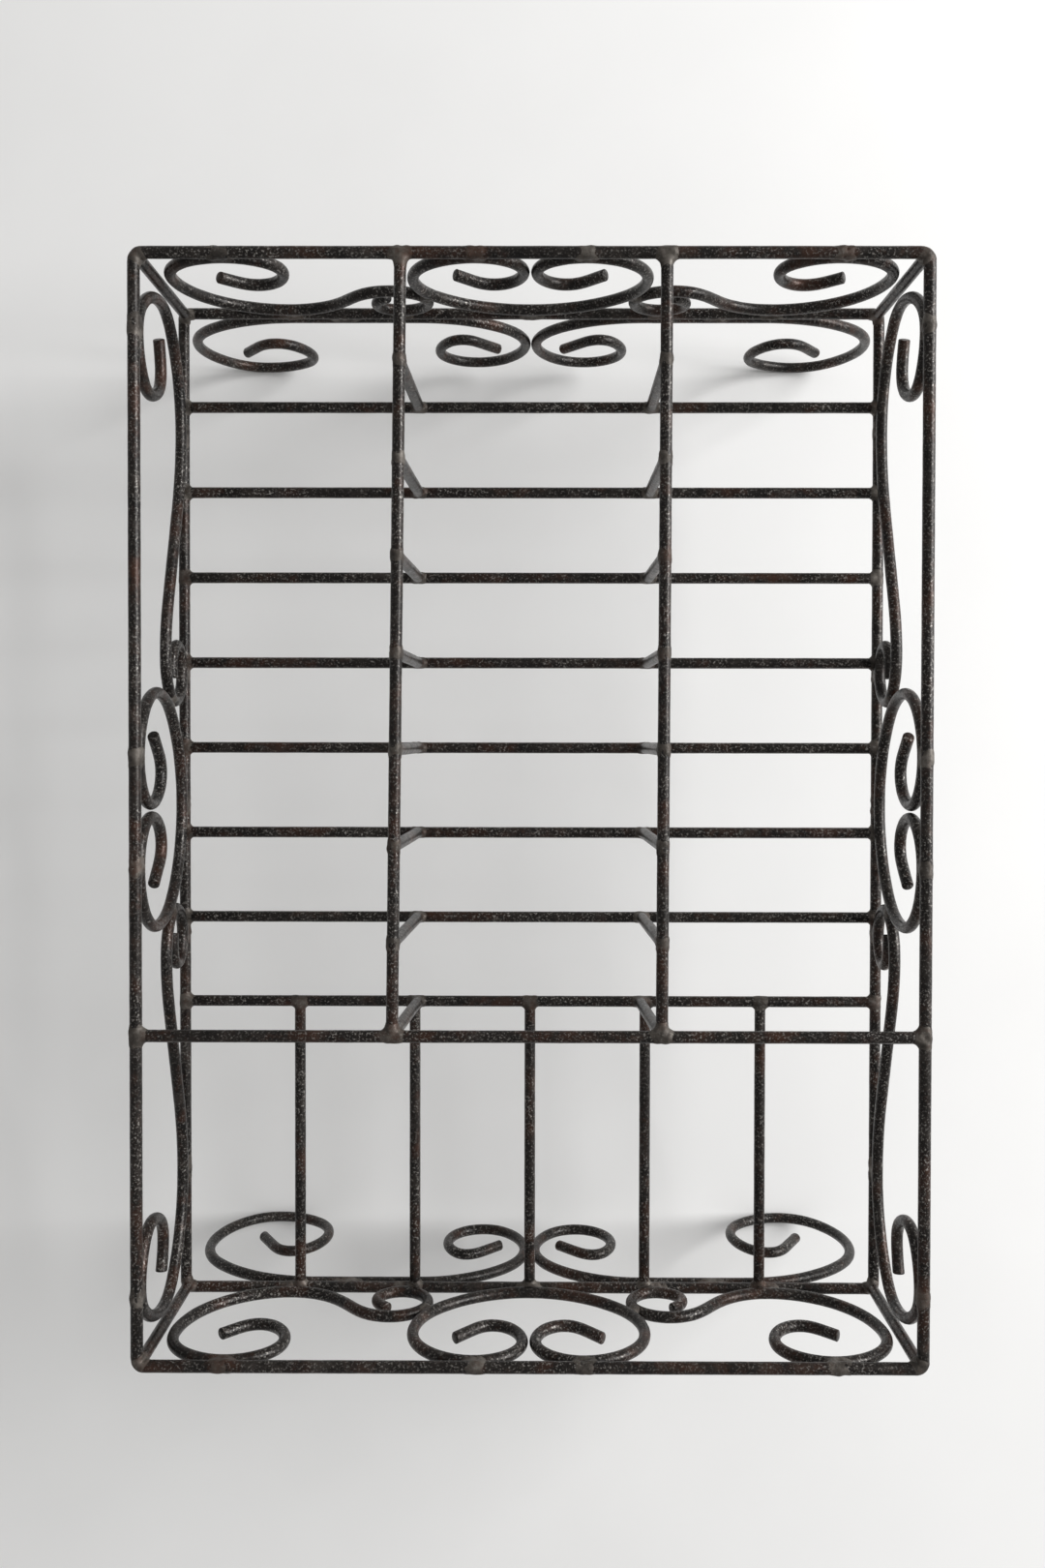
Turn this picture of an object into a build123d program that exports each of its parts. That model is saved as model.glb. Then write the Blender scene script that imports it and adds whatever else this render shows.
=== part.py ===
from build123d import *
from math import cos, radians, sin
import os

# Hand-made countertop wine rack, all of one size of round iron rod. A basket of two rims, cross bars
# and scroll panels stands on four C-scroll feet. Two divider rails make three bottle bays, and the front
# tray is for glasses. +X is right, +Y is the rear, and Z = 0 is the surface that the feet stand on.

os.makedirs("parts", exist_ok=True)

# Driving dimensions, millimetres
ROD = 5.0
RADIUS = ROD / 2
WIDTH = 320.0
LENGTH = 451.0
BASE_Z = 87.5
BASKET_DEPTH = 74.0
TOP_Z = BASE_Z + BASKET_DEPTH
CORNER_BEND = 4.0
END_CHAMFER = 0.4
FOOT_WEAR = 0.15
FIT_GAP = 0.2

# Bars of the floor and rails of the top
FLOOR_BARS = 8
REAR_BAR_Y = 182.5
FRONT_BAR_Y = -91.8
TRAY_BARS = 5
TRAY_PITCH = WIDTH / 6
FRONT_RAIL_Y = -90.5
REAR_SIDE = {"left": (-52.7, -51.5), "right": (54.6, 56.0)}
FRONT_SIDE = {"left": (-56.0, -52.0), "right": (53.4, 51.0)}

# Heights of a scroll rod that lies against a rim rod
UNDER_TOP = TOP_Z - ROD
ON_BASE = BASE_Z + ROD
UNDER_BASE = BASE_Z - ROD
FOOT_Z = RADIUS - FOOT_WEAR

# Weld metal
COLLAR_RADIUS = 3.5
COLLAR_LAP = 0.9
COLLAR_LENGTH = 4.1
COLLAR_LIP = RADIUS + 0.2
BEAD_RADIUS = 1.5
BEAD_OFFSET = 2.3
CROWN_BEAD = 8.0
HOOK_BEAD = 6.0
HOOK_TOUCH = (46.3, 111.7)
HOOK_SLANT = 53
FOOT_SEAM = 15.0
FOOT_SEAM_X = 86.0

COS45 = cos(radians(45))
UP = Vector(0, 0, 1)
FROM_START = (Align.CENTER, Align.CENTER, Align.MIN)

# Scroll centrelines as (distance outward from the panel's middle, height), at the points where the rod
# runs level or upright, in turn
END_SCROLL = {
    "tip": (132, 133.5),
    "curl": [(118.5, 124.3), (104.5, 140), (126, UNDER_TOP), (153, 133), (110, ON_BASE)],
    "hook": [(62.5, 117), (46.5, 104.5), (58.7, ON_BASE), (70.2, 100.5)],
    "tip_angle": 42,
    "slope": 48,
    "low_share": 0.62,
    "hook_tip": [(6.3, 50), (4.6, 0)],
}
SIDE_SCROLL = {
    "tip": (201, 127),
    "curl": [(186, 124), (174.5, 141), (196.5, UNDER_TOP), (218, 124), (169.5, ON_BASE)],
    "hook": [(66, 118), (46.6, 105), (59.8, ON_BASE), (72.3, 100.5)],
    "tip_angle": 20,
    "slope": 19,
    "low_share": 0.6,
    "hook_tip": [(7.0, 90), (7.6, 0)],
}
CENTRE_SCROLL = {
    "tip": (31, 136.5),
    "curl": [(16, 125), (2.8, 140), (22.5, UNDER_TOP), (50, 131), (0, ON_BASE)],
    "tip_angle": 45,
}
FRONT_FOOT = {
    "outer_tip": (136, 29),
    "outer": [(120, 47.5), (104, 26), (133, FOOT_Z), (161, 38), (102, UNDER_BASE)],
    "inner": [(52, UNDER_BASE), (3, 45), (24, 19), (41.5, 36), (32, 51)],
    "inner_tip": (16, 39),
    "tip_angles": (58, 42),
}
REAR_FOOT = {
    "outer_tip": (144, 28),
    "outer": [(126.5, 43.5), (112, 21.5), (139, FOOT_Z), (166, 38), (110, UNDER_BASE)],
    "inner": [(52, UNDER_BASE), (3, 43), (28, 12), (46, 30), (34, 50)],
    "inner_tip": (17.5, 34.5),
    "tip_angles": (52, 48),
}


def quarter_turn(start, end, side, level):
    """Two 45 degree bends from a level point of the rod to an upright one, or the other way round."""
    first = abs(end[0] - start[0])
    second = abs(end[1] - start[1])
    if not level:
        first, second = second, first
    spread = 2 * COS45 - 1
    leading = (COS45 * first - (1 - COS45) * second) / spread
    trailing = (COS45 * second - (1 - COS45) * first) / spread
    return [(leading, 45 * side), (trailing, 45 * side)]


def curl_bends(points, side):
    """Bends through points where the rod is level, upright, level and so on."""
    bends = []
    for number, (start, end) in enumerate(zip(points, points[1:])):
        bends += quarter_turn(start, end, side, number % 2 == 0)
    return bends


def tip_bend(tip, level_point, angle):
    """Radius and straight length of a rod end that leaves the level by an angle."""
    run = abs(level_point[0] - tip[0])
    rise = abs(level_point[1] - tip[1])
    sine = sin(radians(angle))
    cosine = cos(radians(angle))
    scale = sine * sine - cosine * (1 - cosine)
    radius = (run * sine - rise * cosine) / scale
    straight = (sine * rise - (1 - cosine) * run) / scale
    return radius, straight


def draw_bends(plane, start, heading, bends):
    """Lines and arcs that follow on smoothly; each bend is (radius, angle), or (length, 0) if straight."""
    point = plane.origin + plane.x_dir * start[0] + plane.y_dir * start[1]
    ahead = plane.x_dir * cos(radians(heading)) + plane.y_dir * sin(radians(heading))
    for size, angle in bends:
        bend = JernArc(point, ahead, size, angle) if angle else Line(point, point + ahead * size)
        point = bend @ 1
        ahead = bend % 1


def save(piece, name):
    piece.part.label = name
    export_step(piece.part, f"parts/{name}.step")


def bent_rod(plane, start, heading, bends, chamfered=True):
    """A round rod along a chain of bends that starts at a point of the plane."""
    with BuildPart() as rod:
        with BuildLine(plane) as route:
            draw_bends(plane, start, heading, bends)
        path = route.wire()
        with BuildSketch(Plane(origin=path @ 0, z_dir=path % 0)):
            Circle(RADIUS)
        sweep(path=path)
        if chamfered:
            chamfer(rod.faces().filter_by(GeomType.PLANE).edges(), END_CHAMFER)
    return rod


def add_straight_rod(start, end):
    """A straight round rod, cut square at both ends, in the part that is being built."""
    run = Vector(*end) - Vector(*start)
    with Locations(Plane(origin=start, z_dir=run)):
        Cylinder(RADIUS, run.length, align=FROM_START)


def add_collar(end, other_end):
    """A ring of weld metal round the end of a straight rod, lapping the rod that it butts against."""
    along = (Vector(*other_end) - Vector(*end)).normalized()
    with Locations(Plane(origin=Vector(*end) - along * COLLAR_LAP, z_dir=along)):
        Cone(COLLAR_RADIUS, COLLAR_LIP, COLLAR_LENGTH, align=FROM_START)
        Cylinder(RADIUS, COLLAR_LENGTH, align=FROM_START, mode=Mode.SUBTRACT)


def add_bead(contact, inward, along, length):
    """Weld metal in the groove beside two rods that touch side by side."""
    with Locations(Plane(origin=Vector(*contact) + inward * BEAD_OFFSET, z_dir=along)):
        Cylinder(BEAD_RADIUS, length)


def panel_plane(origin, outward):
    """The upright plane of a panel: x runs outward from its middle and y runs up."""
    return Plane(origin=origin, x_dir=outward, z_dir=outward.cross(UP))


# --- Rims: four rods each, mitred in the middle of the corner bends ---
SIDES = {
    "front": (Vector(1, 0, 0), WIDTH, LENGTH),
    "right": (Vector(0, 1, 0), LENGTH, WIDTH),
    "rear": (Vector(-1, 0, 0), WIDTH, LENGTH),
    "left": (Vector(0, -1, 0), LENGTH, WIDTH),
}
CORNER_INSET = CORNER_BEND * (1 - COS45)
rims = {}
for rim, height in (("top", TOP_Z), ("base", BASE_Z)):
    for side, (along, span, across) in SIDES.items():
        rims[rim, side] = bent_rod(
            Plane(origin=(0, 0, height), x_dir=along, z_dir=UP),
            (CORNER_INSET - span / 2, CORNER_INSET - across / 2),
            -45,
            [(CORNER_BEND, 45), (span - 2 * CORNER_BEND, 0), (CORNER_BEND, 45)],
            chamfered=False,
        )
        save(rims[rim, side], f"{rim}_rim_{side}")

# --- Corner posts, between the bends of the rims ---
POST_BOTTOM = BASE_Z + RADIUS
POST_TOP = TOP_Z - RADIUS
CORNER_X = WIDTH / 2 - CORNER_INSET
CORNER_Y = LENGTH / 2 - CORNER_INSET
CORNERS = {
    "front_left": (-CORNER_X, -CORNER_Y),
    "front_right": (CORNER_X, -CORNER_Y),
    "rear_left": (-CORNER_X, CORNER_Y),
    "rear_right": (CORNER_X, CORNER_Y),
}
corner_posts = {}
for corner, (x, y) in CORNERS.items():
    with BuildPart() as post:
        add_straight_rod((x, y, POST_BOTTOM), (x, y, POST_TOP))
    corner_posts[corner] = post
    save(post, f"corner_post_{corner}")

# --- Front rail and divider rails, in the plane of the top rim ---
BAR_END_X = WIDTH / 2 - RADIUS
front_rail_ends = (-BAR_END_X, FRONT_RAIL_Y, TOP_Z), (BAR_END_X, FRONT_RAIL_Y, TOP_Z)
with BuildPart() as front_rail:
    add_straight_rod(*front_rail_ends)
save(front_rail, "front_rail")

RAIL_REAR_Y = LENGTH / 2 - RADIUS - FIT_GAP
RAIL_FRONT_Y = FRONT_RAIL_Y + RADIUS + FIT_GAP
divider_rails = {}
divider_rail_ends = {}
for side in ("left", "right"):
    rear_end = (REAR_SIDE[side][0], RAIL_REAR_Y, TOP_Z)
    front_end = (FRONT_SIDE[side][0], RAIL_FRONT_Y, TOP_Z)
    with BuildPart() as rail:
        add_straight_rod(rear_end, front_end)
    divider_rails[side] = rail
    divider_rail_ends[side] = rear_end, front_end
    save(rail, f"divider_rail_{side}")

# --- Floor bars across, and tray bars from the front floor bar to the front rim ---
floor_pitch = (REAR_BAR_Y - FRONT_BAR_Y) / (FLOOR_BARS - 1)
floor_bar_y = [REAR_BAR_Y - floor_pitch * number for number in range(FLOOR_BARS)]
floor_bars = []
for number, y in enumerate(floor_bar_y, start=1):
    with BuildPart() as bar:
        add_straight_rod((-BAR_END_X, y, BASE_Z), (BAR_END_X, y, BASE_Z))
    floor_bars.append(bar)
    save(bar, f"floor_bar_{number}")

TRAY_REAR_Y = FRONT_BAR_Y - RADIUS
TRAY_FRONT_Y = RADIUS - LENGTH / 2
tray_bar_x = [TRAY_PITCH * (number - (TRAY_BARS - 1) / 2) for number in range(TRAY_BARS)]
tray_bars = []
for number, x in enumerate(tray_bar_x, start=1):
    with BuildPart() as bar:
        add_straight_rod((x, TRAY_REAR_Y, BASE_Z), (x, TRAY_FRONT_Y, BASE_Z))
    tray_bars.append(bar)
    save(bar, f"tray_bar_{number}")

# --- Divider posts: one on each floor bar, under each divider rail, leaning where the rail is askew ---


def along_divider(side, level, y):
    """X of a divider rail (level 0) or of its posts' feet (level 1) at a place along the rack."""
    share = (y - FRONT_RAIL_Y) / (LENGTH / 2 - FRONT_RAIL_Y)
    return FRONT_SIDE[side][level] + share * (REAR_SIDE[side][level] - FRONT_SIDE[side][level])


divider_posts = {}
post_ends = {"left": [], "right": []}
for side, ends in post_ends.items():
    with BuildPart() as posts:
        for y in floor_bar_y:
            rail_y = max(y, FRONT_RAIL_Y)
            foot = Vector(along_divider(side, 1, y), y, POST_BOTTOM + FIT_GAP)
            head = Vector(along_divider(side, 0, y), rail_y, POST_TOP - FIT_GAP)
            add_straight_rod(foot, head)
            ends.append((foot, head))
    divider_posts[side] = posts
    save(posts, f"divider_posts_{side}")

# --- Scroll panels: a C scroll between two S scrolls on each side ---
PANELS = {
    "front": (Vector(0, -LENGTH / 2, 0), Vector(1, 0, 0), END_SCROLL),
    "rear": (Vector(0, LENGTH / 2, 0), Vector(1, 0, 0), END_SCROLL),
    "left": (Vector(-WIDTH / 2, 0, 0), Vector(0, 1, 0), SIDE_SCROLL),
    "right": (Vector(WIDTH / 2, 0, 0), Vector(0, 1, 0), SIDE_SCROLL),
}
HALVES = {
    "front": ("right", "left"),
    "rear": ("right", "left"),
    "left": ("rear", "front"),
    "right": ("rear", "front"),
}


def s_scroll(plane, shape):
    """A big curl, a shaft that swings up to a hump, and a small hook the other way."""
    curl = [*shape["curl"]]
    radius, straight = tip_bend(shape["tip"], curl[0], shape["tip_angle"])
    swing_run = curl[-1][0] - shape["hook"][0][0]
    swing_rise = shape["hook"][0][1] - curl[-1][1]
    swing_radii, shaft = tip_bend((0, 0), (swing_run, swing_rise), shape["slope"])
    bends = [(straight, 0), (radius, -shape["tip_angle"])]
    bends += curl_bends(curl, -1)
    bends += [
        (swing_radii * shape["low_share"], -shape["slope"]),
        (shaft, 0),
        (swing_radii * (1 - shape["low_share"]), shape["slope"]),
    ]
    bends += curl_bends(shape["hook"], 1)
    bends += shape["hook_tip"]
    return bent_rod(plane, shape["tip"], 180 + shape["tip_angle"], bends)


def c_scroll(plane, shape):
    """A wide C whose two ends curl in beside each other."""
    radius, straight = tip_bend(shape["tip"], shape["curl"][0], shape["tip_angle"])
    half = [(straight, 0), (radius, -shape["tip_angle"])] + curl_bends(shape["curl"], -1)
    return bent_rod(plane, shape["tip"], 180 + shape["tip_angle"], half + half[::-1])


scrolls = {}
for panel, (origin, outward, shape) in PANELS.items():
    for half, direction in zip(HALVES[panel], (outward, -outward)):
        scrolls[panel, half] = s_scroll(panel_plane(origin, direction), shape)
        save(scrolls[panel, half], f"{panel}_s_scroll_{half}")
    scrolls[panel, "centre"] = c_scroll(panel_plane(origin, outward), CENTRE_SCROLL)
    save(scrolls[panel, "centre"], f"{panel}_c_scroll")

# --- Feet: two C scrolls under each end, with their inner curls back to back ---


def foot_scroll(plane, shape):
    """A C scroll under the base rim, with a small worn flat where its big curl stands."""
    outer_angle, inner_angle = shape["tip_angles"]
    outer_radius, outer_straight = tip_bend(shape["outer_tip"], shape["outer"][0], outer_angle)
    inner_radius, inner_straight = tip_bend(shape["inner_tip"], shape["inner"][-1], inner_angle)
    bends = [(outer_straight, 0), (outer_radius, outer_angle)]
    bends += curl_bends(shape["outer"], 1)
    bends += [(shape["outer"][-1][0] - shape["inner"][0][0], 0)]
    bends += curl_bends(shape["inner"], 1)
    bends += [(inner_radius, inner_angle), (inner_straight, 0)]
    foot = bent_rod(plane, shape["outer_tip"], 180 - outer_angle, bends)
    with foot:
        split(bisect_by=Plane.XY, keep=Keep.TOP)
    return foot


feet = {}
for end, shape in (("front", FRONT_FOOT), ("rear", REAR_FOOT)):
    origin, outward, _ = PANELS[end]
    for half, direction in zip(HALVES[end], (outward, -outward)):
        feet[end, half] = foot_scroll(panel_plane(origin, direction), shape)
        save(feet[end, half], f"foot_scroll_{end}_{half}")

# --- Weld metal, one node for each run of alike joints, trimmed to the rods that it joins ---
straight_rods = [front_rail, *divider_rails.values(), *divider_posts.values(), *corner_posts.values()]
all_rods = [*rims.values(), *straight_rods, *floor_bars, *tray_bars, *scrolls.values(), *feet.values()]
neighbours = [rod.part for rod in all_rods]

with BuildPart() as floor_bar_welds:
    for y in floor_bar_y:
        add_collar((-BAR_END_X, y, BASE_Z), (BAR_END_X, y, BASE_Z))
        add_collar((BAR_END_X, y, BASE_Z), (-BAR_END_X, y, BASE_Z))
    add(neighbours, mode=Mode.SUBTRACT)
save(floor_bar_welds, "floor_bar_welds")
neighbours.append(floor_bar_welds.part)

with BuildPart() as tray_bar_welds:
    for x in tray_bar_x:
        add_collar((x, TRAY_REAR_Y, BASE_Z), (x, TRAY_FRONT_Y, BASE_Z))
        add_collar((x, TRAY_FRONT_Y, BASE_Z), (x, TRAY_REAR_Y, BASE_Z))
    add(neighbours, mode=Mode.SUBTRACT)
save(tray_bar_welds, "tray_bar_welds")
neighbours.append(tray_bar_welds.part)

# A divider rail and the foremost post both meet the front rail at one joint, so one weld holds them
with BuildPart() as rail_welds:
    add_collar(*front_rail_ends)
    add_collar(*front_rail_ends[::-1])
    for side, (rear_end, front_end) in divider_rail_ends.items():
        foot, head = post_ends[side][-1]
        add_collar(rear_end, front_end)
        add_collar(front_end, rear_end)
        add_collar(head, foot)
    add(neighbours, mode=Mode.SUBTRACT)
save(rail_welds, "rail_welds")
neighbours.append(rail_welds.part)

with BuildPart() as post_foot_welds:
    for foot, head in post_ends["left"] + post_ends["right"]:
        add_collar(foot, head)
    add(neighbours, mode=Mode.SUBTRACT)
save(post_foot_welds, "post_foot_welds")
neighbours.append(post_foot_welds.part)

with BuildPart() as post_head_welds:
    for foot, head in post_ends["left"][:-1] + post_ends["right"][:-1]:
        add_collar(head, foot)
    add(neighbours, mode=Mode.SUBTRACT)
save(post_head_welds, "post_head_welds")
neighbours.append(post_head_welds.part)

with BuildPart() as corner_post_welds:
    for x, y in CORNERS.values():
        add_collar((x, y, POST_BOTTOM), (x, y, POST_TOP))
        add_collar((x, y, POST_TOP), (x, y, POST_BOTTOM))
    add(neighbours, mode=Mode.SUBTRACT)
save(corner_post_welds, "corner_post_welds")
neighbours.append(corner_post_welds.part)

# Beads lie on the inner side of each panel, where its scrolls touch the rims and each other
for panel, (origin, outward, shape) in PANELS.items():
    inward = -origin.normalized()
    contacts = [
        (shape["curl"][2][0], POST_TOP, CROWN_BEAD),
        (shape["curl"][4][0], POST_BOTTOM, CROWN_BEAD),
        (shape["hook"][2][0], POST_BOTTOM, HOOK_BEAD),
        (CENTRE_SCROLL["curl"][2][0], POST_TOP, CROWN_BEAD),
    ]
    with BuildPart() as panel_welds:
        add_bead(origin + UP * POST_BOTTOM, inward, outward, CROWN_BEAD)
        for direction in (outward, -outward):
            for distance, height, length in contacts:
                add_bead(origin + direction * distance + UP * height, inward, direction, length)
            touch = origin + direction * HOOK_TOUCH[0] + UP * HOOK_TOUCH[1]
            slant = direction * cos(radians(HOOK_SLANT)) + UP * sin(radians(HOOK_SLANT))
            add_bead(touch, inward, slant, HOOK_BEAD)
        add(neighbours, mode=Mode.SUBTRACT)
    save(panel_welds, f"{panel}_panel_welds")

with BuildPart() as foot_scroll_welds:
    for end in ("front", "rear"):
        origin, outward, _ = PANELS[end]
        for direction in (outward, -outward):
            seam = origin + direction * FOOT_SEAM_X + UP * (BASE_Z - RADIUS)
            add_bead(seam, -origin.normalized(), direction, FOOT_SEAM)
    add(neighbours, mode=Mode.SUBTRACT)
save(foot_scroll_welds, "foot_scroll_welds")
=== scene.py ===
import math

import bpy
import numpy as np
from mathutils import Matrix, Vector, noise


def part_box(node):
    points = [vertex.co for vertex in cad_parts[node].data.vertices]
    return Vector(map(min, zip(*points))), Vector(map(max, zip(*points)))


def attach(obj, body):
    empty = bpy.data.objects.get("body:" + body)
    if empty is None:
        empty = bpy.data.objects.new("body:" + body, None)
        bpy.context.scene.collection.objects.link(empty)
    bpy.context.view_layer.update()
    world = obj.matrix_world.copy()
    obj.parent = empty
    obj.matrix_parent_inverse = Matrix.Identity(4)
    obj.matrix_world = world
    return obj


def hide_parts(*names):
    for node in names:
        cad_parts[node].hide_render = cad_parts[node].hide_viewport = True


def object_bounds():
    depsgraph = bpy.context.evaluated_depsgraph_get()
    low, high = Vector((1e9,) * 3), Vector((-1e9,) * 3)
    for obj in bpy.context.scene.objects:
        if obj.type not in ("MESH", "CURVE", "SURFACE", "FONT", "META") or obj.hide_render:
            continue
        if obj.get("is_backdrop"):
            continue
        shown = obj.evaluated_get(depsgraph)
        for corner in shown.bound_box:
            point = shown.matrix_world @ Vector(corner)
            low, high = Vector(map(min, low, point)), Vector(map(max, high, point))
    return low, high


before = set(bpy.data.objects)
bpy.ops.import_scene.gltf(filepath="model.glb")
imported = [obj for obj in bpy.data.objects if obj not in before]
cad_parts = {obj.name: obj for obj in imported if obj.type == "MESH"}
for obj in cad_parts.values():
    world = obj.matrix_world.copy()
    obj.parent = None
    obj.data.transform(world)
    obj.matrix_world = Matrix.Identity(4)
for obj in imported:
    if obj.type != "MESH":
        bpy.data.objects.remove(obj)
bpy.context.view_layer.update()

# A hand-made iron wine rack. Lengths are in millimetres until a mesh is made; Blender's are in metres.
MM = 0.001
UP = np.array((0.0, 0.0, 1.0))


# --- Measures, from the frame ---
def box_mm(node):
    low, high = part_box(node)
    return np.array(low) / MM, np.array(high) / MM


def middle(node):
    low, high = box_mm(node)
    return (low + high) / 2


def vertices_mm(node):
    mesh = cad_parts[node].data
    flat = np.empty(len(mesh.vertices) * 3)
    mesh.vertices.foreach_get("co", flat)
    return flat.reshape(-1, 3) / MM


END_SLICE = 0.6


def rod_ends(points):
    """Middles of the two end faces of a straight rod, from its vertices."""
    axis = np.ptp(points, axis=0).argmax()
    along = points[:, axis]
    near = along < along.min() + END_SLICE
    far = along > along.max() - END_SLICE
    return [(points[side].min(0) + points[side].max(0)) / 2 for side in (near, far)]


ROD = np.ptp(box_mm("floor_bar_1"), axis=0)[2]
RADIUS = ROD / 2
TOP_Z = middle("front_rail")[2]
BASE_Z = middle("floor_bar_1")[2]
SIDE_X = middle("right_c_scroll")[0]
END_Y = middle("rear_c_scroll")[1]
UNDER_TOP = TOP_Z - ROD
ON_BASE = BASE_Z + ROD
UNDER_BASE = BASE_Z - ROD
FOOT_Z = box_mm("foot_scroll_front_left")[0][2] + RADIUS
CORNER_BEND = 4.0
PANELS = {
    "front": (np.array((0, -END_Y, 0.0)), np.array((1.0, 0, 0))),
    "rear": (np.array((0, END_Y, 0.0)), np.array((1.0, 0, 0))),
    "left": (np.array((-SIDE_X, 0, 0.0)), np.array((0, 1.0, 0))),
    "right": (np.array((SIDE_X, 0, 0.0)), np.array((0, 1.0, 0))),
}
HALVES = {
    "front": ("right", "left"),
    "rear": ("right", "left"),
    "left": ("rear", "front"),
    "right": ("rear", "front"),
}

# --- Scroll centrelines ---
# Each point is a distance outward from the panel's middle and a height, where the rod is level or upright.
END_SCROLL = {
    "tip": (132, 133.5),
    "curl": [(118.5, 124.3), (104.5, 140), (126, UNDER_TOP), (153, 133), (110, ON_BASE)],
    "hook": [(62.5, 117), (46.5, 104.5), (58.7, ON_BASE), (70.2, 100.5)],
    "tip_angle": 42,
    "slope": 48,
    "low_share": 0.62,
    "hook_tip": [(6.3, 50), (4.6, 0)],
}
SIDE_SCROLL = {
    "tip": (201, 127),
    "curl": [(186, 124), (174.5, 141), (196.5, UNDER_TOP), (218, 124), (169.5, ON_BASE)],
    "hook": [(66, 118), (46.6, 105), (59.8, ON_BASE), (72.3, 100.5)],
    "tip_angle": 20,
    "slope": 19,
    "low_share": 0.6,
    "hook_tip": [(7.0, 90), (7.6, 0)],
}
CENTRE_SCROLL = {
    "tip": (31, 136.5),
    "curl": [(16, 125), (2.8, 140), (22.5, UNDER_TOP), (50, 131), (0, ON_BASE)],
    "tip_angle": 45,
}
FRONT_FOOT = {
    "outer_tip": (136, 29),
    "outer": [(120, 47.5), (104, 26), (133, FOOT_Z), (161, 38), (102, UNDER_BASE)],
    "inner": [(52, UNDER_BASE), (3, 45), (24, 19), (41.5, 36), (32, 51)],
    "inner_tip": (16, 39),
    "tip_angles": (58, 42),
}
REAR_FOOT = {
    "outer_tip": (144, 28),
    "outer": [(126.5, 43.5), (112, 21.5), (139, FOOT_Z), (166, 38), (110, UNDER_BASE)],
    "inner": [(52, UNDER_BASE), (3, 43), (28, 12), (46, 30), (34, 50)],
    "inner_tip": (17.5, 34.5),
    "tip_angles": (52, 48),
}
COS45 = math.cos(math.radians(45))
STEP = 1.2


def quarter_turn(start, end, side, level):
    """Two 45 degree bends from a level point of the rod to an upright one, or the other way round."""
    first = abs(end[0] - start[0])
    second = abs(end[1] - start[1])
    if not level:
        first, second = second, first
    spread = 2 * COS45 - 1
    leading = (COS45 * first - (1 - COS45) * second) / spread
    trailing = (COS45 * second - (1 - COS45) * first) / spread
    return [(leading, 45 * side), (trailing, 45 * side)]


def curl_bends(points, side):
    bends = []
    for number, (start, end) in enumerate(zip(points, points[1:])):
        bends += quarter_turn(start, end, side, number % 2 == 0)
    return bends


def tip_bend(tip, level_point, angle):
    """Radius and straight length of a rod end that leaves the level by an angle."""
    run = abs(level_point[0] - tip[0])
    rise = abs(level_point[1] - tip[1])
    sine = math.sin(math.radians(angle))
    cosine = math.cos(math.radians(angle))
    scale = sine * sine - cosine * (1 - cosine)
    return (run * sine - rise * cosine) / scale, (sine * rise - (1 - cosine) * run) / scale


def trace(start, heading, bends, easing=9):
    """Points along a chain of (radius, angle) arcs and (length, 0) straights, eased where they meet."""
    lengths = []
    headings = []
    for size, angle in bends:
        length = abs(math.radians(angle)) * size if angle else size
        count = max(4, round(length / STEP))
        lengths += [length / count] * count
        headings += [heading + angle * (number + 0.5) / count for number in range(count)]
        heading += angle
    padded = np.pad(headings, easing // 2, mode="edge")
    eased = np.radians(np.convolve(padded, np.ones(easing) / easing, mode="valid"))
    moves = np.array(lengths)[:, None] * np.column_stack((np.cos(eased), np.sin(eased)))
    return np.vstack((start, start + np.cumsum(moves, axis=0)))


def s_scroll(shape):
    """A big curl, a shaft that swings up to a hump, and a small hook the other way."""
    curl = shape["curl"]
    radius, straight = tip_bend(shape["tip"], curl[0], shape["tip_angle"])
    swing = (curl[-1][0] - shape["hook"][0][0], shape["hook"][0][1] - curl[-1][1])
    swing_radii, shaft = tip_bend((0, 0), swing, shape["slope"])
    bends = [(straight, 0), (radius, -shape["tip_angle"])] + curl_bends(curl, -1)
    bends += [
        (swing_radii * shape["low_share"], -shape["slope"]),
        (shaft, 0),
        (swing_radii * (1 - shape["low_share"]), shape["slope"]),
    ]
    bends += curl_bends(shape["hook"], 1) + shape["hook_tip"]
    return trace(shape["tip"], 180 + shape["tip_angle"], bends)


def c_scroll(shape):
    """A wide C whose two ends curl in beside each other."""
    radius, straight = tip_bend(shape["tip"], shape["curl"][0], shape["tip_angle"])
    half = [(straight, 0), (radius, -shape["tip_angle"])] + curl_bends(shape["curl"], -1)
    return trace(shape["tip"], 180 + shape["tip_angle"], half + half[::-1])


def foot_scroll(shape):
    """A C scroll with a big outer curl that stands on the floor and a small inner one."""
    outer_angle, inner_angle = shape["tip_angles"]
    outer_radius, outer_straight = tip_bend(shape["outer_tip"], shape["outer"][0], outer_angle)
    inner_radius, inner_straight = tip_bend(shape["inner_tip"], shape["inner"][-1], inner_angle)
    bends = [(outer_straight, 0), (outer_radius, outer_angle)] + curl_bends(shape["outer"], 1)
    bends += [(shape["outer"][-1][0] - shape["inner"][0][0], 0)] + curl_bends(shape["inner"], 1)
    bends += [(inner_radius, inner_angle), (inner_straight, 0)]
    return trace(shape["outer_tip"], 180 - outer_angle, bends)


def on_panel(panel, outward_sign, flat):
    """Panel points in space: outward from the panel's middle, and up."""
    origin, outward = PANELS[panel]
    return origin + flat[:, :1] * outward * outward_sign + flat[:, 1:] * UP


def straight_line(start, end):
    """Evenly spaced points along a straight rod."""
    start, end = np.array(start, float), np.array(end, float)
    count = max(3, round(np.linalg.norm(end - start) / STEP))
    share = np.linspace(0, 1, count + 1)[:, None]
    return start + (end - start) * share


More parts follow.
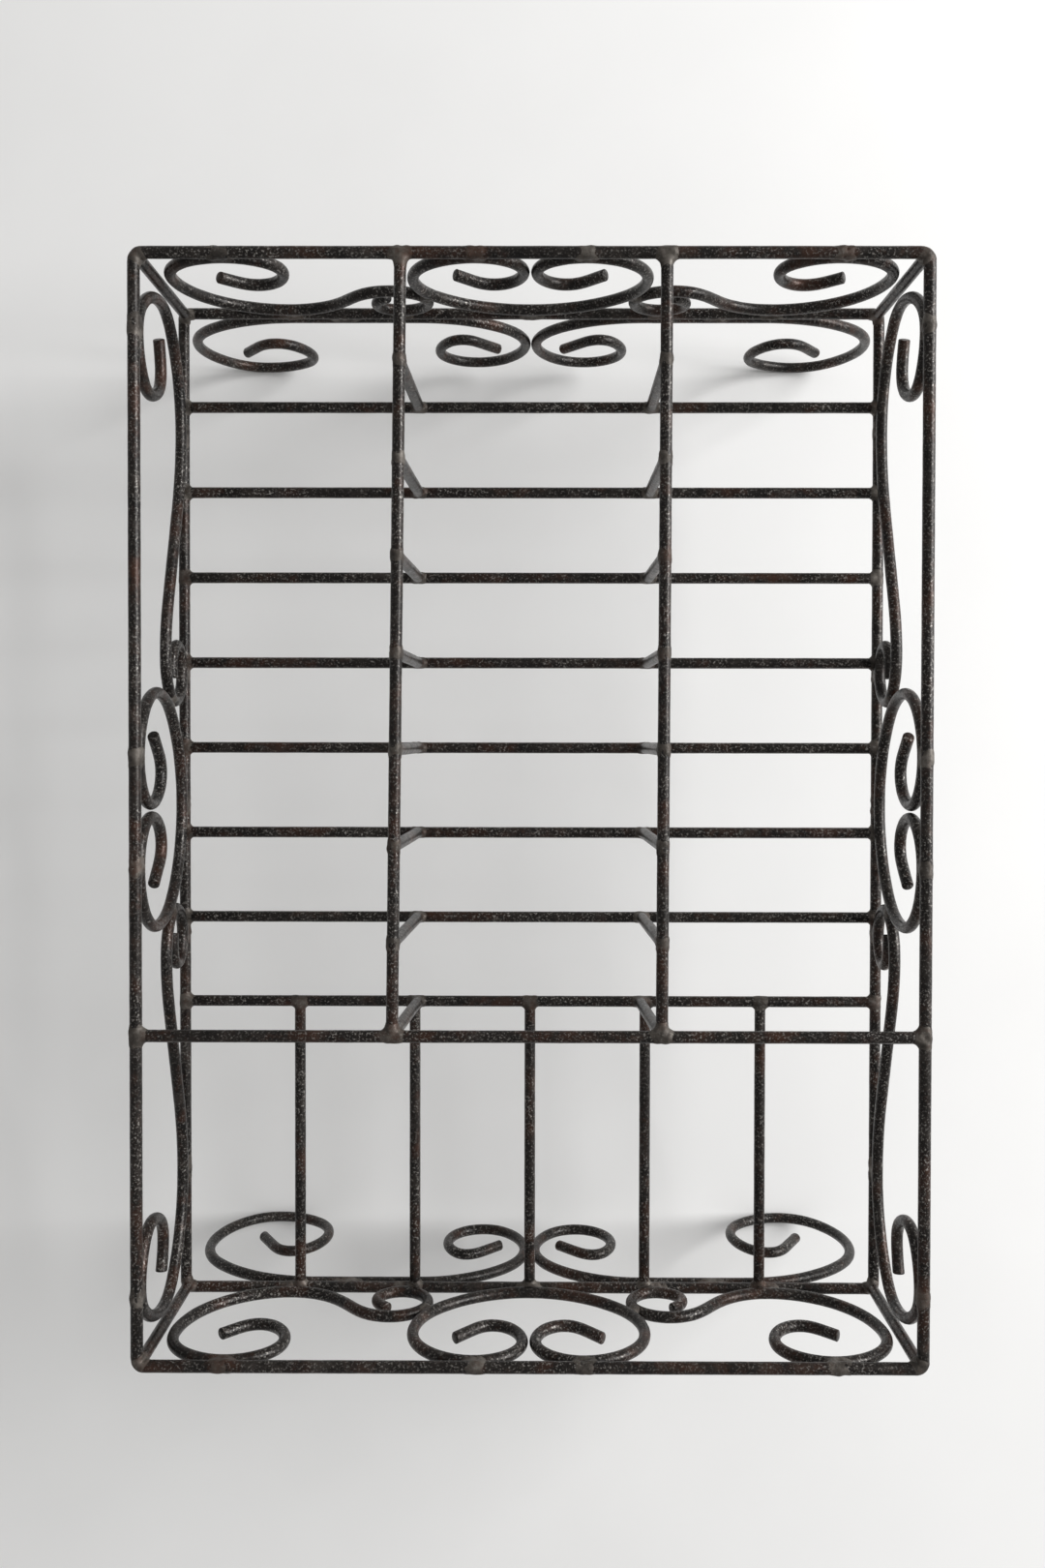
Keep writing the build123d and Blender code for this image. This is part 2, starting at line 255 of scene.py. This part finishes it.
# --- Rod meshes ---
RING = 20
SWELL = 0.05
SWELL_SIZE = 9.0
GRAIN = 0.02
GRAIN_SIZE = 2.2
CUT_BEVEL = ((0.985, 0.15), (0.94, 0.32), (0.84, 0.45))
CUT_SLANT = 0.16
SLANT_REACH = 3.0


def roughen(points, outward):
    """Pushes surface points in and out a little, as forging and scale leave a rod."""
    shifts = [
        SWELL * noise.noise(Vector(point) / SWELL_SIZE) + GRAIN * noise.noise(Vector(point) / GRAIN_SIZE)
        for point in points.reshape(-1, 3)
    ]
    return points + outward * np.array(shifts).reshape(points.shape[:-1] + (1,))


def rod_mesh(rods):
    """Vertices and faces of round rods. Each rod is its centreline, the normal of the plane that the
    line lies in, and whether its ends are cut and seen."""
    all_points = []
    all_faces = []
    first = 0
    turn = np.linspace(0, 2 * math.pi, RING, endpoint=False)
    for line, normal, cut in rods:
        tangent = np.gradient(line, axis=0)
        tangent /= np.linalg.norm(tangent, axis=1)[:, None]
        side = np.cross(normal, tangent)
        spokes = np.cos(turn)[None, :, None] * np.array(normal, float)
        spokes = spokes + np.sin(turn)[None, :, None] * side[:, None]
        centres = np.repeat(line[:, None], RING, axis=1)
        rings = roughen(centres + spokes * RADIUS, spokes)
        if cut:
            rings = cut_ends(line, rings, centres, tangent, turn)
        count = len(rings)
        grid = np.arange(count * RING).reshape(count, RING) + first
        nexts = np.roll(grid, -1, axis=1)
        quads = np.stack((grid[:-1], grid[1:], nexts[1:], nexts[:-1]), axis=-1).reshape(-1, 4)
        all_faces += quads.tolist()
        all_faces.append(grid[0].tolist())
        all_faces.append(grid[-1][::-1].tolist())
        all_points.append(rings.reshape(-1, 3))
        first += count * RING
    return np.vstack(all_points), all_faces


def cut_ends(line, rings, centres, tangent, turn):
    """Slants a rod's two cut ends a little and breaks their edges."""
    for end, outward in ((0, -1), (-1, 1)):
        reach = np.linalg.norm(line - line[end], axis=1)
        lean = np.clip(1 - reach / SLANT_REACH, 0, 1) * CUT_SLANT * RADIUS * outward
        rings = rings + lean[:, None, None] * np.sin(turn)[None, :, None] * tangent[:, None]
    caps = []
    for end, outward in ((0, -1), (-1, 1)):
        spokes = rings[end] - centres[end]
        caps.append([
            centres[end] + spokes * share + tangent[end] * depth * outward for share, depth in CUT_BEVEL
        ])
    head, tail = caps
    return np.concatenate((np.array(head[::-1]), rings, np.array(tail)))


def make_piece(name, points, faces, material, node):
    """A smooth-shaded mesh piece that stands for a CAD node, worn flat where it meets the floor."""
    points = np.column_stack((points[:, :2], np.maximum(points[:, 2], 0)))
    mesh = bpy.data.meshes.new(name)
    mesh.from_pydata((points * MM).tolist(), [], faces)
    mesh.validate()
    mesh.shade_smooth()
    mesh.materials.append(material)
    piece = bpy.data.objects.new(name, mesh)
    bpy.context.collection.objects.link(piece)
    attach(piece, "root")
    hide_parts(node)
    return piece


# --- Weld metal: fillets that run from rod to rod, found as the zero surface of a field ---
CELL = 0.45
LUMP_SIZE = 2.6
LUMP_BASE = 0.45
FADE_START = 0.5
FADE_DEPTH = 0.7
SEED_SPAN = 97
NEAR_SHARE = 1.8
NEAR_MARGIN = 4


def nearest_on(line, points):
    """Distance from points to a centreline, and the unit direction away from it."""
    starts, runs = line[:-1], np.diff(line, axis=0)
    best = np.full(len(points), np.inf)
    away = np.zeros_like(points)
    for start, run in zip(starts, runs):
        share = np.clip((points - start) @ run / (run @ run), 0, 1)
        offset = points - start - share[:, None] * run
        distance = np.linalg.norm(offset, axis=1)
        closer = distance < best
        best[closer] = distance[closer]
        away[closer] = offset[closer] / np.maximum(distance[closer], 1e-6)[:, None]
    return best, away


def grid_noise(points, size, seed):
    return np.array([noise.noise(Vector(point) / size + Vector((seed, 0, 0))) for point in points])


def surface_net(field, low):
    """Closed quad mesh of the zero surface of a field on a grid of cells."""
    inside = field < 0
    shape = np.array(field.shape) - 1
    total = np.zeros((*shape, 3))
    hits = np.zeros(shape)
    faces = []
    index = np.arange(shape.prod()).reshape(shape)
    for axis in range(3):
        one, two = (axis + 1) % 3, (axis + 2) % 3
        lower = [slice(None)] * 3
        upper = [slice(None)] * 3
        lower[axis] = slice(0, -1)
        upper[axis] = slice(1, None)
        crossing = inside[tuple(lower)] != inside[tuple(upper)]
        at = np.argwhere(crossing)
        a = field[tuple(lower)][crossing]
        b = field[tuple(upper)][crossing]
        place = at.astype(float)
        place[:, axis] += a / (a - b)
        flipped = inside[tuple(lower)][crossing]
        ring = []
        for d1, d2 in ((0, 0), (1, 0), (1, 1), (0, 1)):
            cell = at.copy()
            cell[:, one] -= d1
            cell[:, two] -= d2
            ring.append(cell)
            np.add.at(total, tuple(cell.T), place)
            np.add.at(hits, tuple(cell.T), 1)
        corners = np.stack([index[tuple(cell.T)] for cell in ring], axis=1)
        corners[~flipped] = corners[~flipped][:, ::-1]
        faces.append(corners)
    used = hits > 0
    number = np.full(shape, -1)
    number[used] = np.arange(used.sum())
    points = total[used] / hits[used][:, None] * CELL + low
    quads = number.reshape(-1)[np.vstack(faces)]
    return points, quads


def weld(centre, lines, reach, fillet, lump, along=None, stretch=1.0):
    """One blob of weld metal where rods meet, which sinks into the rods away from the joint."""
    centre = np.array(centre, float)
    half = reach * max(1.0, stretch) + 2 * CELL
    low = centre - half
    count = int(2 * half / CELL) + 2
    axes = [low[axis] + CELL * np.arange(count) for axis in range(3)]
    points = np.stack(np.meshgrid(*axes, indexing="ij"), axis=-1).reshape(-1, 3)
    offset = points - centre
    if along is not None:
        along = np.array(along, float) / np.linalg.norm(along)
        offset = offset - (offset @ along)[:, None] * along * (1 - 1 / stretch)
    out = np.linalg.norm(offset, axis=1)
    keep = out < reach + 3 * CELL
    near = points[keep]
    field = None
    for line in lines:
        close = np.linalg.norm(line - centre, axis=1) < half * NEAR_SHARE + NEAR_MARGIN
        first, last = np.flatnonzero(close)[[0, -1]]
        part = line[max(0, first - 1) : last + 2]
        distance, away = nearest_on(part, near)
        distance = distance - RADIUS
        if field is None:
            field, facing = distance, away
            continue
        blend = np.clip(fillet - np.abs(field - distance), 0, None) / fillet
        square = 1 - np.einsum("ij,ij->i", facing, away) ** 2
        closer = distance < field
        facing = np.where(closer[:, None], away, facing)
        field = np.minimum(field, distance) - blend * blend * fillet / 4 * square
    fade = np.clip((out[keep] / reach - FADE_START) / (1 - FADE_START), 0, 1)
    seed = float(centre.sum() % SEED_SPAN)
    swelling = lump * (LUMP_BASE + grid_noise(near, LUMP_SIZE, seed))
    field = field - swelling * (1 - fade) + FADE_DEPTH * fade * fade
    field = np.maximum(field, out[keep] - reach)
    full = np.full(len(points), 1.0)
    full[keep] = field
    return surface_net(full.reshape(count, count, count), low)


def join(parts):
    """Several meshes' vertices and faces as one."""
    points, faces, first = [], [], 0
    for part_points, part_faces in parts:
        points.append(part_points)
        faces += (part_faces + first).tolist()
        first += len(part_points)
    return np.vstack(points), faces


# --- Materials ---
def texture(nodes, links, coordinates, scale, detail, roughness=0.6):
    noise_node = nodes.new("ShaderNodeTexNoise")
    noise_node.inputs["Scale"].default_value = scale
    noise_node.inputs["Detail"].default_value = detail
    noise_node.inputs["Roughness"].default_value = roughness
    links.new(coordinates, noise_node.inputs["Vector"])
    return noise_node.outputs["Fac"]


def ramp(nodes, links, value, stops):
    ramp_node = nodes.new("ShaderNodeValToRGB")
    elements = ramp_node.color_ramp.elements
    elements[0].position, elements[0].color = stops[0][0], (*stops[0][1], 1)
    elements[1].position, elements[1].color = stops[-1][0], (*stops[-1][1], 1)
    for position, colour in stops[1:-1]:
        elements.new(position).color = (*colour, 1)
    links.new(value, ramp_node.inputs["Fac"])
    return ramp_node.outputs["Color"]


def spread(nodes, links, value, low, high, to_low, to_high):
    map_node = nodes.new("ShaderNodeMapRange")
    for socket, number in zip(("From Min", "From Max", "To Min", "To Max"), (low, high, to_low, to_high)):
        map_node.inputs[socket].default_value = number
    links.new(value, map_node.inputs["Value"])
    return map_node.outputs["Result"]


def tint(nodes, links, share, colour, tint_colour):
    """A colour, turned towards a second one by a share that varies over the surface."""
    mix_node = nodes.new("ShaderNodeMix")
    mix_node.data_type = "RGBA"
    share_in, colour_in, tint_in = (mix_node.inputs[number] for number in (0, 6, 7))
    links.new(share, share_in)
    links.new(colour, colour_in)
    tint_in.default_value = (*tint_colour, 1)
    return mix_node.outputs[2]


RUST = (0.05, 0.02, 0.011)
GRAIN_DEPTH = 0.11


def iron(name, scale_colours, bare_colour, bare_low, bare_high, roughness, metallic):
    """Blackened iron: dark mottled scale, rust-brown patches, and bare metal rubbed through in specks."""
    material = bpy.data.materials.new(name)
    material.use_nodes = True
    nodes, links = material.node_tree.nodes, material.node_tree.links
    shader = nodes["Principled BSDF"]
    place = nodes.new("ShaderNodeTexCoord").outputs["Object"]
    patches = texture(nodes, links, place, 110, 5, 0.65)
    grain = texture(nodes, links, place, 1050, 3, 0.6)
    pits = texture(nodes, links, place, 380, 5)
    rust = texture(nodes, links, place, 42, 6, 0.75)
    wear = texture(nodes, links, place, 24, 3)

    colour = ramp(nodes, links, patches, scale_colours)
    colour = tint(nodes, links, spread(nodes, links, rust, 0.5, 0.68, 0.0, 0.75), colour, RUST)
    specks = nodes.new("ShaderNodeMath")
    specks.operation = "MULTIPLY"
    links.new(spread(nodes, links, grain, bare_low, bare_high, 0.0, 1.0), specks.inputs[0])
    links.new(spread(nodes, links, wear, 0.35, 0.65, 0.3, 1.0), specks.inputs[1])
    colour = tint(nodes, links, specks.outputs[0], colour, bare_colour)
    links.new(colour, shader.inputs["Base Color"])

    links.new(spread(nodes, links, pits, 0.3, 0.7, *roughness), shader.inputs["Roughness"])
    shader.inputs["Metallic"].default_value = metallic
    shader.inputs["Specular IOR Level"].default_value = 0.27

    height = nodes.new("ShaderNodeMath")
    height.operation = "ADD"
    links.new(grain, height.inputs[0])
    links.new(pits, height.inputs[1])
    bump = nodes.new("ShaderNodeBump")
    bump.inputs["Strength"].default_value = 0.8
    bump.inputs["Distance"].default_value = GRAIN_DEPTH * MM
    links.new(height.outputs[0], bump.inputs["Height"])
    links.new(bump.outputs["Normal"], shader.inputs["Normal"])
    return material


ROD_IRON = iron(
    "blackened_iron",
    [(0.32, (0.005, 0.0042, 0.0038)), (0.52, (0.0125, 0.0101, 0.0088)), (0.7, (0.034, 0.028, 0.0243))],
    (0.36, 0.34, 0.315),
    0.54,
    0.76,
    (0.25, 0.47),
    0.32,
)
WELD_IRON = iron(
    "weld_iron",
    [(0.32, (0.022, 0.0187, 0.016)), (0.5, (0.056, 0.048, 0.041)), (0.68, (0.13, 0.117, 0.103))],
    (0.19, 0.18, 0.168),
    0.56,
    0.8,
    (0.4, 0.62),
    0.35,
)


# --- Rods, each in place of its CAD node ---
X_AXIS = (1.0, 0, 0)
Y_AXIS = (0, 1.0, 0)
PANEL_NORMAL = {"front": Y_AXIS, "rear": Y_AXIS, "left": X_AXIS, "right": X_AXIS}
RIM_SIDES = {
    "front": ((1, 0, 0), SIDE_X, END_Y),
    "right": ((0, 1, 0), END_Y, SIDE_X),
    "rear": ((-1, 0, 0), SIDE_X, END_Y),
    "left": ((0, -1, 0), END_Y, SIDE_X),
}
BUTT = 1.6
lines = {}


def add_rod(node, line, normal, cut=False):
    lines[node] = line
    points, faces = rod_mesh([(line, normal, cut)])
    make_piece(f"{node}_rod", points, faces, ROD_IRON, node)


def lengthened(ends, extra):
    start, end = ends
    along = (end - start) / np.linalg.norm(end - start)
    return start - along * extra, end + along * extra


inset = CORNER_BEND * (1 - COS45)
for rim, height in (("top", TOP_Z), ("base", BASE_Z)):
    for side, (along, half_span, half_across) in RIM_SIDES.items():
        bends = [(CORNER_BEND, 45), (2 * (half_span - CORNER_BEND), 0), (CORNER_BEND, 45)]
        flat = trace((inset - half_span, inset - half_across), -45, bends, easing=1)
        along = np.array(along, float)
        line = flat[:, :1] * along + flat[:, 1:] * np.cross(UP, along) + height * UP
        add_rod(f"{rim}_rim_{side}", line, UP)

for corner in ("front_left", "front_right", "rear_left", "rear_right"):
    node = f"corner_post_{corner}"
    start, end = lengthened(rod_ends(vertices_mm(node)), BUTT)
    add_rod(node, straight_line(start, end), X_AXIS)

STRAIGHT = ["front_rail", "divider_rail_left", "divider_rail_right"]
STRAIGHT += [f"floor_bar_{number}" for number in range(1, 9)]
STRAIGHT += [f"tray_bar_{number}" for number in range(1, 6)]
for node in STRAIGHT:
    start, end = lengthened(rod_ends(vertices_mm(node)), BUTT)
    add_rod(node, straight_line(start, end), UP)

bar_y = [middle(f"floor_bar_{number}")[1] for number in range(1, 9)]
for side in ("left", "right"):
    node = f"divider_posts_{side}"
    cloud = vertices_mm(node)
    rods = []
    for number, y in enumerate(bar_y, start=1):
        post = cloud[np.abs(cloud[:, 1] - y) < ROD * 1.5]
        start, end = lengthened(rod_ends(post), BUTT)
        line = straight_line(start, end)
        lines[f"{node}_{number}"] = line
        rods.append((line, X_AXIS, False))
    points, faces = rod_mesh(rods)
    make_piece(f"{node}_rods", points, faces, ROD_IRON, node)

for panel in PANELS:
    shape = END_SCROLL if panel in ("front", "rear") else SIDE_SCROLL
    for half, sign in zip(HALVES[panel], (1, -1)):
        line = on_panel(panel, sign, s_scroll(shape))
        add_rod(f"{panel}_s_scroll_{half}", line, PANEL_NORMAL[panel], cut=True)
    add_rod(f"{panel}_c_scroll", on_panel(panel, 1, c_scroll(CENTRE_SCROLL)), PANEL_NORMAL[panel], cut=True)

for end, shape in (("front", FRONT_FOOT), ("rear", REAR_FOOT)):
    for half, sign in zip(HALVES[end], (1, -1)):
        line = on_panel(end, sign, foot_scroll(shape))
        add_rod(f"foot_scroll_{end}_{half}", line, PANEL_NORMAL[end], cut=True)


# --- Welds, each group in place of its CAD node ---
def add_welds(node, joints):
    points, faces = join([weld(*joint) for joint in joints])
    make_piece(f"{node}_metal", points, faces, WELD_IRON, node)


# A weld is how far it reaches from the joint, how wide its fillets are and how lumpy it is.
REACH, FILLET, LUMP = 6.4, 2.1, 0.26
HEAVY_LUMP = 0.5
LIGHT_WELD = (REACH, FILLET, LUMP)
RAIL_WELD = (REACH + 1, FILLET + 0.6, HEAVY_LUMP)
POST_FOOT_WELD = (REACH - 0.5, FILLET, LUMP)
POST_HEAD_WELD = (REACH - 0.5, FILLET, HEAVY_LUMP)
PATCH_WELD = (6.2, FILLET, HEAVY_LUMP)
SPOT_WELD = (5, FILLET, HEAVY_LUMP)
add_welds("floor_bar_welds", [
    ((sign * SIDE_X, y, BASE_Z), [lines[f"base_rim_{side}"], lines[f"floor_bar_{number}"]], *LIGHT_WELD)
    for number, y in enumerate(bar_y, start=1)
    for sign, side in ((-1, "left"), (1, "right"))
])
tray_x = [middle(f"tray_bar_{number}")[0] for number in range(1, 6)]
add_welds("tray_bar_welds", [
    ((x, y, BASE_Z), [lines[across], lines[f"tray_bar_{number}"]], *LIGHT_WELD)
    for number, x in enumerate(tray_x, start=1)
    for y, across in ((bar_y[-1], "floor_bar_8"), (-END_Y, "base_rim_front"))
])
rail_y = middle("front_rail")[1]
rail_joints = [
    ((sign * SIDE_X, rail_y, TOP_Z), [lines[f"top_rim_{side}"], lines["front_rail"]], *RAIL_WELD)
    for sign, side in ((-1, "left"), (1, "right"))
]
for side in ("left", "right"):
    rail = lines[f"divider_rail_{side}"]
    foremost = lines[f"divider_posts_{side}_8"]
    rear_end, front_end = sorted(rail[[0, -1]], key=lambda end: -end[1])
    rail_joints.append((rear_end, [lines["top_rim_rear"], rail], *RAIL_WELD))
    rail_joints.append((front_end, [lines["front_rail"], rail, foremost], *RAIL_WELD))
add_welds("rail_welds", rail_joints)

foot_joints, head_joints = [], []
for side in ("left", "right"):
    for number in range(1, 9):
        post = lines[f"divider_posts_{side}_{number}"]
        foot, head = sorted(post[[0, -1]], key=lambda end: end[2])
        foot_joints.append((foot, [lines[f"floor_bar_{number}"], post], *POST_FOOT_WELD))
        if number < 8:
            head_joints.append((head, [lines[f"divider_rail_{side}"], post], *POST_HEAD_WELD))
add_welds("post_foot_welds", foot_joints)
add_welds("post_head_welds", head_joints)

BUTTED_CORNER = ("top", "front", "right")
corner_joints = []
for end in ("front", "rear"):
    for side in ("left", "right"):
        post = lines[f"corner_post_{end}_{side}"]
        foot, head = sorted(post[[0, -1]], key=lambda end: end[2])
        for place, rim in ((foot, "base"), (head, "top")):
            meeting = [lines[f"{rim}_rim_{end}"], lines[f"{rim}_rim_{side}"], post]
            lump = HEAVY_LUMP if (rim, end, side) == BUTTED_CORNER else LUMP
            corner_joints.append((place, meeting, REACH, FILLET, lump))
add_welds("corner_post_welds", corner_joints)

PATCH_LAP = 1.3
TOP_STRETCH, CENTRE_STRETCH, BASE_STRETCH, LOW_STRETCH, HOOK_STRETCH = 1.4, 1.3, 1.4, 1.5, 1.2
FOOT_STRETCH = 2.2
HOOK_TOUCH = (46.3, 111.7)
FOOT_SEAM_OUT = 86
for panel, (origin, outward) in PANELS.items():
    shape = END_SCROLL if panel in ("front", "rear") else SIDE_SCROLL
    top, base = lines[f"top_rim_{panel}"], lines[f"base_rim_{panel}"]
    centre = lines[f"{panel}_c_scroll"]
    low = origin + UP * (BASE_Z + RADIUS - PATCH_LAP)
    high = origin + UP * (TOP_Z - RADIUS + PATCH_LAP)
    joints = [(low, [base, centre], *PATCH_WELD, outward, BASE_STRETCH)]
    for half, sign in zip(HALVES[panel], (1, -1)):
        scroll = lines[f"{panel}_s_scroll_{half}"]
        away = outward * sign
        joints += [
            (high + away * shape["curl"][2][0], [top, scroll], *PATCH_WELD, outward, TOP_STRETCH),
            (high + away * CENTRE_SCROLL["curl"][2][0], [top, centre], *PATCH_WELD, outward, CENTRE_STRETCH),
            (low + away * shape["curl"][4][0], [base, scroll], *PATCH_WELD, outward, LOW_STRETCH),
            (low + away * shape["hook"][2][0], [base, scroll], *PATCH_WELD, outward, HOOK_STRETCH),
            (origin + away * HOOK_TOUCH[0] + UP * HOOK_TOUCH[1], [centre, scroll], *SPOT_WELD),
        ]
    add_welds(f"{panel}_panel_welds", joints)

foot_seams = []
for end in ("front", "rear"):
    origin, outward = PANELS[end]
    for half, sign in zip(HALVES[end], (1, -1)):
        seam = origin + outward * sign * FOOT_SEAM_OUT + UP * (BASE_Z - RADIUS)
        meeting = [lines[f"base_rim_{end}"], lines[f"foot_scroll_{end}_{half}"]]
        foot_seams.append((seam, meeting, *SPOT_WELD, outward, FOOT_STRETCH))
add_welds("foot_scroll_welds", foot_seams)


# --- Floor, light and camera ---
def plain_floor():
    mesh = bpy.data.meshes.new("floor")
    half = 4.0
    corners = [(-half, -half, 0), (half, -half, 0), (half, half, 0), (-half, half, 0)]
    mesh.from_pydata(corners, [], [(0, 1, 2, 3)])
    floor = bpy.data.objects.new("floor", mesh)
    bpy.context.collection.objects.link(floor)
    material = bpy.data.materials.new("pale_floor")
    material.use_nodes = True
    nodes, links = material.node_tree.nodes, material.node_tree.links
    shader = nodes["Principled BSDF"]
    place = nodes.new("ShaderNodeTexCoord").outputs["Object"]
    cloud = texture(nodes, links, place, 6, 3)
    colour = ramp(nodes, links, cloud, [(0.3, (0.8, 0.797, 0.79)), (0.7, (0.83, 0.827, 0.82))])
    links.new(colour, shader.inputs["Base Color"])
    shader.inputs["Roughness"].default_value = 0.9
    shader.inputs["Specular IOR Level"].default_value = 0.1
    mesh.materials.append(material)
    floor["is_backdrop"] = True


def area_light(name, place, target, size, power):
    light = bpy.data.lights.new(name, "AREA")
    light.shape = "RECTANGLE"
    light.size, light.size_y = size
    light.energy = power
    lamp = bpy.data.objects.new(name, light)
    lamp.location = place
    lamp.rotation_euler = (Vector(target) - Vector(place)).to_track_quat("-Z", "Y").to_euler()
    lamp.visible_camera = False
    bpy.context.collection.objects.link(lamp)


def sky(colour, strength):
    world = bpy.data.worlds.new("studio")
    world.use_nodes = True
    background = world.node_tree.nodes["Background"]
    background.inputs["Color"].default_value = (*colour, 1)
    background.inputs["Strength"].default_value = strength
    bpy.context.scene.world = world


def camera():
    data = bpy.data.cameras.new("camera")
    data.sensor_fit = "VERTICAL"
    data.sensor_height = 36.0
    data.lens = 28.89
    data.shift_x = -0.0013
    data.shift_y = -0.0203
    holder = bpy.data.objects.new("camera", data)
    holder.location = (-0.00046, 0.03248, 0.6696)
    holder.rotation_euler = [math.radians(angle) for angle in (-0.859, 0.222, 0.088)]
    bpy.context.collection.objects.link(holder)
    bpy.context.scene.camera = holder


plain_floor()
area_light("window", place=(1.75, 0.5, 1.05), target=(0, 0, 0.05), size=(1.3, 1.1), power=61)
sky(colour=(1.0, 0.997, 0.99), strength=0.42)
camera()
bpy.context.scene.view_settings.view_transform = "Standard"

low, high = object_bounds()
